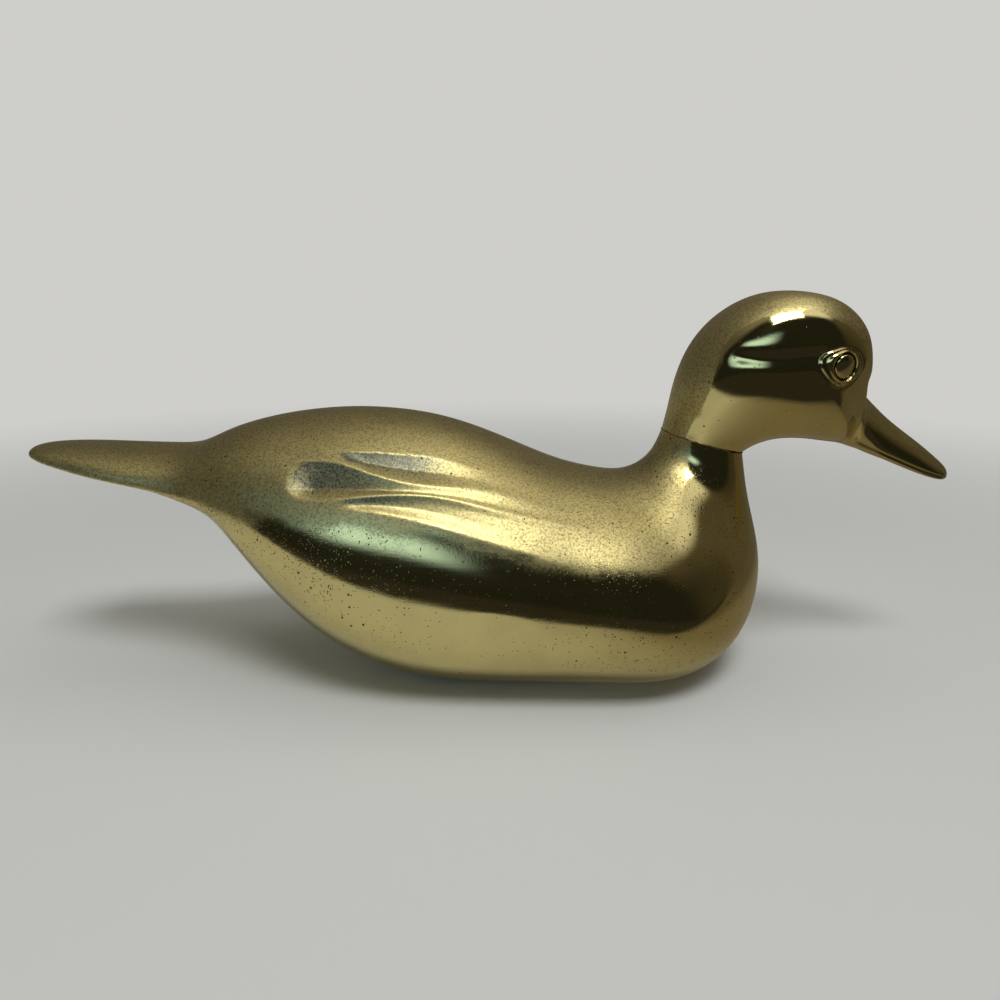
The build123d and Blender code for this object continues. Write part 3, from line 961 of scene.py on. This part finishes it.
bore_row = inset(seat_row, BORE_INSET)
spigot_row = inset(seat_row, SPIGOT_INSET)
hollow_stations = np.vstack([bore_row, inset(skull_stations[1:], WALL)])
inner_rows = np.vstack([
    rows_along(hollow_stations, np.linspace(1, 0, HOLLOW_ROWS)),
    lifted(bore_row, -SPIGOT_LENGTH),
    lifted(spigot_row, -SPIGOT_LENGTH),
    spigot_row,
])
head_sheet = np.concatenate([section_points(inner_rows, ring_shares), head_outside])
hollow_front = head_sheet[0].mean(axis=0)
bill_tip = head_sheet[-1].mean(axis=0) + BILL_CAP
head_points = np.vstack([head_sheet.reshape(-1, 3), hollow_front, bill_tip])

# Satin and darkening of the head
CROWN_STEP = (-0.9, 1.1)
CROWN_SATIN = 0.85
BILL_STEP = (112.0, 120.0)
BILL_ROOF = (4.0, 7.0)
BILL_SATIN = 0.6
MOUTH_DARKENING = 0.8
MOUTH_DARKENING_WIDTH = 0.45
BILL_ROOT_DARKENING = 0.35
BILL_ROOT_DARKENING_WIDTH = 0.4
LID_DARKENING = ((0.55, 0.70, 0.09), (0.40, 1.14, 0.10))
EYE_GAP_DARKENING = (1.02, 1.10)


def satin_of_head(points):
    """How satin the head is: on the crown, the upper nape and the bill's roof; polished on the cheeks."""
    x, _, z = points.T
    crown = smooth_step(*CROWN_STEP, z - np.interp(x, *np.transpose(POLISH_EDGE)))
    bill = smooth_step(*BILL_STEP, x) * smooth_step(*BILL_ROOF, z - height_on(MOUTH_LINE, x))
    return np.clip(CROWN_SATIN * crown + BILL_SATIN * bill, 0, 1)


def crease_of_head(points):
    """How much darker the head is made in the mouth, at the bill's root, between the lids' ridges and
    round the eye.
    """
    x, _, z = points.T
    mouth, run = line_distance(x, z, MOUTH_LINE)
    dark = MOUTH_DARKENING * bell(mouth, MOUTH_DARKENING_WIDTH) * smooth_step(*MOUTH_START, run)
    root, _ = line_distance(x, z, BILL_ROOT)
    dark += BILL_ROOT_DARKENING * bell(root, BILL_ROOT_DARKENING_WIDTH)
    within, lid = lid_places(points, eye_middle)
    dark += sum(amount * bell(lid - place, width) for amount, place, width in LID_DARKENING)
    dark += 1 - smooth_step(*EYE_GAP_DARKENING, within)
    return np.clip(dark, 0, 1)


head_faces = capped_faces(*head_sheet.shape[:2])
head = add_piece("duck_head", head_points, head_faces, "head_casting", head_brass)
paint(
    head,
    satin=satin_of_head(head_points),
    pitting=np.full(len(head_points), HEAD_PITTING),
    crease=crease_of_head(head_points),
    skin=np.zeros(len(head_points)),
)

# Bead in the neck seam: points round the neck and round its own section, how proud it is, and its
# unevenness as waves of a height, a count and a shift
BEAD_COLUMNS = 240
BEAD_ROWS = 20
BEAD_PROUD = 0.18
BEAD_WAVES = ((0.05, 23, 1.0), (0.04, 41, 0.0))


def add_neck_ring():
    """The filler in the neck seam: an oval section carried round the neck, a wall deep, unevenly proud."""
    turn = np.linspace(0, 2, BEAD_COLUMNS, endpoint=False)
    profile = np.linspace(0, 2 * math.pi, BEAD_ROWS, endpoint=False)
    out = np.cos(profile)
    depth = np.where(out > 0, -BEAD_PROUD * out, -WALL * out)
    lift = NECK_SEAM * (0.5 - 0.5 * np.sin(profile))
    points = section_points(np.vstack([lifted(inset(neck_row, d), h) for d, h in zip(depth, lift)]), turn)
    uneven = sum(height * np.sin(count * turn + shift) for height, count, shift in BEAD_WAVES)
    beside = np.vstack([lifted(neck_row, -1.0), lifted(neck_row, 1.0)])
    outward = normals_of(section_points(beside, turn), ring=True)[0]
    points = points + outward * uneven[:, None] * np.clip(out, 0, 1)[:, None, None]
    numbers = np.arange(BEAD_ROWS * BEAD_COLUMNS).reshape(BEAD_ROWS, BEAD_COLUMNS)
    following = np.roll(numbers, -1, axis=0)
    corners = (numbers, np.roll(numbers, -1, axis=1), np.roll(following, -1, axis=1), following)
    faces = [np.stack(corners, -1).reshape(-1, 4)]
    points = points.reshape(-1, 3)
    add_piece("neck_seam_bead", points, faces, "neck_braze_ring", seam_filler)


add_neck_ring()

# Eyes: how high the dome is and how far its rim lies under the skull, how deep the stud goes, where its
# straight side ends, and the gap round it
EYE_DOME = 1.2
EYE_SUNK = 0.3
EYE_SIDE = 1.0
EYE_DEPTH = 2.5
EYE_GAP = 0.12
EYE_COLUMNS = 72
EYE_ROWS = 22


def add_eyes():
    """The right eye and its mirror: rings of the oval rim, drawn in and raised along a quarter circle to
    the middle of the dome, then a straight side down to a flat foot."""
    apart = np.hypot(head_base[..., 0] - eye_middle[0], head_base[..., 2] - eye_middle[2])
    apart = np.where(head_base[..., 1] < 0, apart, np.inf)
    spot = np.unravel_index(np.argmin(apart), apart.shape)
    out = head_normals[spot]
    along = np.array((1.0, 0.0, 0.0)) - out * out[0]
    along = along / np.linalg.norm(along)
    up = np.cross(out, along)
    up = up * np.sign(up[2])
    turn = np.linspace(0, 2 * math.pi, EYE_COLUMNS, endpoint=False)
    rim = oval_radius(turn, EYE_REACH) - EYE_GAP
    swing = np.linspace(0, math.pi / 2, EYE_ROWS)[1:]
    size = np.r_[np.sin(swing), 1.0, 1.0]
    lift = np.r_[EYE_DOME * np.cos(swing) - EYE_SUNK, -EYE_SIDE, -EYE_DEPTH]
    circle = rim[:, None] * (np.cos(turn)[:, None] * along + np.sin(turn)[:, None] * up)
    rings = size[:, None, None] * circle + lift[:, None, None] * out
    poles = np.array((EYE_DOME - EYE_SUNK, -EYE_DEPTH))[:, None] * out
    points = np.vstack([rings.reshape(-1, 3), poles]) + head_base[spot]
    faces = capped_faces(*rings.shape[:2])
    add_piece("right_eye_stud", points, faces, "right_eye", eye_brass)
    mirrored = points * (1, -1, 1)
    add_piece("left_eye_stud", mirrored, turned_over(faces), "left_eye", eye_brass)


add_eyes()

# Plug: radii and heights from the middle of its filed face, round its chamfer and up to its top
PLUG_COLUMNS = 48
plug_top = VENT_ROOF - 0.05
plug_profile = np.array((
    (0.0, 0.05), (plug_radius * 0.5, 0.02), (plug_radius - 0.3, 0.0), (plug_radius, 0.25),
    (plug_radius, plug_top), (0.0, plug_top),
)) + (0.0, plug_low[2])


def add_plug():
    """The vent's plug: its profile turned about an upright axis, with a pole at each end."""
    radius, height = plug_profile.T
    angle = np.linspace(0, 2 * math.pi, PLUG_COLUMNS, endpoint=False)
    circle = np.stack([np.cos(angle), np.sin(angle), np.zeros(PLUG_COLUMNS)], -1)
    rings = radius[1:-1, None, None] * circle + height[1:-1, None, None] * (0, 0, 1)
    poles = height[[0, -1], None] * (0, 0, 1)
    points = np.vstack([rings.reshape(-1, 3), poles]) + plug_middle * (1, 1, 0)
    faces = turned_over(capped_faces(len(rings), PLUG_COLUMNS))
    add_piece("vent_plug_disc", points, faces, "vent_plug", plug_brass)


add_plug()

# Stage: a pale floor that melts into the pale background away from the duck. Distances are in metres.
BACKDROP = (0.62, 0.615, 0.595)
FLOOR = (0.86, 0.86, 0.835)
# Painted shade that the floor shows only in reflections: beside the bill, near and far, and in front of the
# duck
PAINTED_SHADE_NEAR_BILL = (0.190, 0.160, 0.108)
PAINTED_SHADE_FAR_FROM_BILL = (0.095, 0.080, 0.054)
PAINTED_SHADE_IN_FRONT = (0.030, 0.028, 0.024)
FLOOR_SIZE = 6.0
MELTING = (0.22, 0.75)
FRONT_SLANT = 0.42
SLANTED_FRONT = (-0.165, -0.215)
STRAIGHT_FRONT = (-0.09, -0.15)
BILL_SIDE = (-0.02, 0.12)
BILL_SIDE_SHADE = 0.95
BILL_DISTANCE = (0.14, 0.30)


def make_floor_material():
    """Pale floor. To the camera it turns into the backdrop's own colour away from the duck. In reflections
    it shows painted shade: darker on the bill's side, and dark in front of the duck beyond a slanted line."""
    material, tree, shader, where = new_material("pale_floor", metallic=0.0)
    shader.inputs["Roughness"].default_value = 0.7
    shader.inputs["Base Color"].default_value = (*FLOOR, 1.0)
    far = add_node(tree, "VectorMath", operation="LENGTH", Vector=where).outputs["Value"]
    place = add_node(tree, "SeparateXYZ", Vector=where).outputs
    rays = add_node(tree, "LightPath").outputs
    slanted = math_node(tree, "SUBTRACT", place["Y"], product(tree, place["X"], FRONT_SLANT))
    straight = ramp_node(tree, place["Y"], *STRAIGHT_FRONT)
    front = product(tree, ramp_node(tree, slanted, *SLANTED_FRONT), straight)
    bill_side = ramp_node(tree, place["X"], *BILL_SIDE, 0.0, BILL_SIDE_SHADE)
    beside = mix_colour(tree, ramp_node(tree, far, *BILL_DISTANCE), PAINTED_SHADE_NEAR_BILL, PAINTED_SHADE_FAR_FROM_BILL)
    shade = mix_colour(tree, front, beside, PAINTED_SHADE_IN_FRONT)
    backdrop = add_node(tree, "Emission", Color=BACKDROP, Strength=1.0)
    # an emission of painted shade, shown only to glossy rays
    painted_shade = add_node(tree, "Emission", Color=shade, Strength=1.0)
    seen_far = product(tree, ramp_node(tree, far, *MELTING), rays["Is Camera Ray"])
    shaded = product(tree, math_node(tree, "MAXIMUM", front, bill_side), rays["Is Glossy Ray"])
    pale = mix_shader(tree, seen_far, shader.outputs[0], backdrop.outputs[0])
    whole = mix_shader(tree, shaded, pale, painted_shade.outputs[0])
    feed(tree, tree.nodes["Material Output"].inputs["Surface"], whole)
    return material


def add_floor():
    """A flat square under the base."""
    half = FLOOR_SIZE / 2
    corners = [(-half, -half, 0), (half, -half, 0), (half, half, 0), (-half, half, 0)]
    mesh = bpy.data.meshes.new("floor")
    mesh.from_pydata(corners, [], [(0, 1, 2, 3)])
    mesh.materials.append(make_floor_material())
    floor = bpy.data.objects.new("floor", mesh)
    bpy.context.scene.collection.objects.link(floor)


add_floor()

# Studio. A field is a part of the room, in degrees: azimuth from the camera's side, towards the bill
# positive, and elevation; the angles from there at which it ends and is full; and its colour. A rise is two
# elevations between which something comes in or goes out.
Field = namedtuple("Field", "azimuth elevation edge full colour")
HORIZON_RISE = (-8, 6)
DIM_WALLS = (0.105, 0.098, 0.088)
BILL_END_FIELDS = (
    Field(90, 0, 72, 48, (0.100, 0.087, 0.060)),
    Field(66, 0, 34, 14, (0.055, 0.047, 0.032)),
)
CEILING_RISE = (40, 76)
CEILING = (0.30, 0.285, 0.25)
OVERHEAD_FIELDS = (
    Field(128, 66, 26, 8, (0.90, 0.87, 0.78)),
    Field(50, 60, 26, 10, (1.0, 1.0, 1.0)),
)
DARK_FIELD = Field(2, 0, 74, 60, (0.018, 0.019, 0.015))
CLEAR_OF_DARK = Field(120, 72, 44, 36, None)
WINDOW_FIELD = Field(-20, 24, 24, 4, (0.92, 1.40, 1.85))
WINDOW_SILL = (13, 22)
WINDOW_HEAD = (27, 36)
WINDOW_STRENGTH = 0.95


def make_world():
    """Studio: the pale backdrop below the horizon, dim walls, darker at the bill's end, a ceiling with two
    bright fields, and a dark room on the camera's side with a window. The camera sees only the backdrop."""
    world = bpy.data.worlds.new("studio")
    world.use_nodes = True
    bpy.context.scene.world = world
    tree = world.node_tree
    direction = add_node(tree, "TexCoord").outputs["Generated"]
    up = add_node(tree, "SeparateXYZ", Vector=direction).outputs["Z"]

    def towards(field):
        """1 within the full angle of a field's direction, falling to 0 at its edge."""
        azimuth, elevation = math.radians(field.azimuth), math.radians(field.elevation)
        level = math.cos(elevation)
        middle = (math.sin(azimuth) * level, -math.cos(azimuth) * level, math.sin(elevation))
        dot = add_node(tree, "VectorMath", operation="DOT_PRODUCT", Vector=direction)
        dot.inputs[1].default_value = middle
        edge, full = math.cos(math.radians(field.edge)), math.cos(math.radians(field.full))
        return ramp_node(tree, dot.outputs["Value"], edge, full)

    def above(rise, to_low=0.0, to_high=1.0):
        """A ramp from one elevation to another."""
        low, high = (math.sin(math.radians(angle)) for angle in rise)
        return ramp_node(tree, up, low, high, to_low, to_high)

    room = mix_colour(tree, above(HORIZON_RISE), BACKDROP, DIM_WALLS)
    for field in BILL_END_FIELDS:
        room = mix_colour(tree, towards(field), room, field.colour)
    room = mix_colour(tree, above(CEILING_RISE), room, CEILING)
    for field in OVERHEAD_FIELDS:
        room = mix_colour(tree, towards(field), room, field.colour)
    below_lights = math_node(tree, "SUBTRACT", 1.0, towards(CLEAR_OF_DARK))
    dark_side = product(tree, towards(DARK_FIELD), below_lights)
    room = mix_colour(tree, dark_side, room, DARK_FIELD.colour)
    opening = product(tree, above(WINDOW_SILL), above(WINDOW_HEAD, 1.0, 0.0))
    window = product(tree, product(tree, towards(WINDOW_FIELD), opening), WINDOW_STRENGTH)
    room = mix_colour(tree, window, room, WINDOW_FIELD.colour)
    light = tree.nodes["Background"]
    feed(tree, light.inputs["Color"], room)
    seen = add_node(tree, "Background", Color=BACKDROP, Strength=1.0)
    rays = add_node(tree, "LightPath")
    whole = mix_shader(tree, rays.outputs["Is Camera Ray"], light.outputs[0], seen.outputs[0])
    feed(tree, tree.nodes["World Output"].inputs["Surface"], whole)


make_world()

# Key light: a large soft lamp above the camera's side
KEY_TARGET = (0.0, 0.0, 0.05)
lamp = bpy.data.lights.new("key_softbox", "AREA")
lamp.shape = "RECTANGLE"
lamp.size = 0.70
lamp.size_y = 0.60
lamp.energy = 12.5
lamp.color = (0.97, 1.0, 1.0)
softbox = bpy.data.objects.new("key_softbox", lamp)
softbox.location = (0.18, -0.85, 1.64)
softbox.rotation_euler = (softbox.location - Vector(KEY_TARGET)).to_track_quat("Z", "Y").to_euler()
bpy.context.scene.collection.objects.link(softbox)

# Camera: where the photograph was taken from
CAMERA_PITCH = math.radians(14.4)
FOCAL_SHARE = 0.770
lens = bpy.data.cameras.new("camera")
lens.sensor_width = 36.0
lens.lens = lens.sensor_width * FOCAL_SHARE
lens.clip_start = 0.005
camera = bpy.data.objects.new("camera", lens)
camera.location = (0.003, -0.250, 0.119)
camera.rotation_euler = (math.pi / 2 - CAMERA_PITCH, 0, 0)
bpy.context.scene.collection.objects.link(camera)
bpy.context.scene.camera = camera
bpy.context.scene.view_settings.view_transform = "Standard"

bpy.context.view_layer.update()
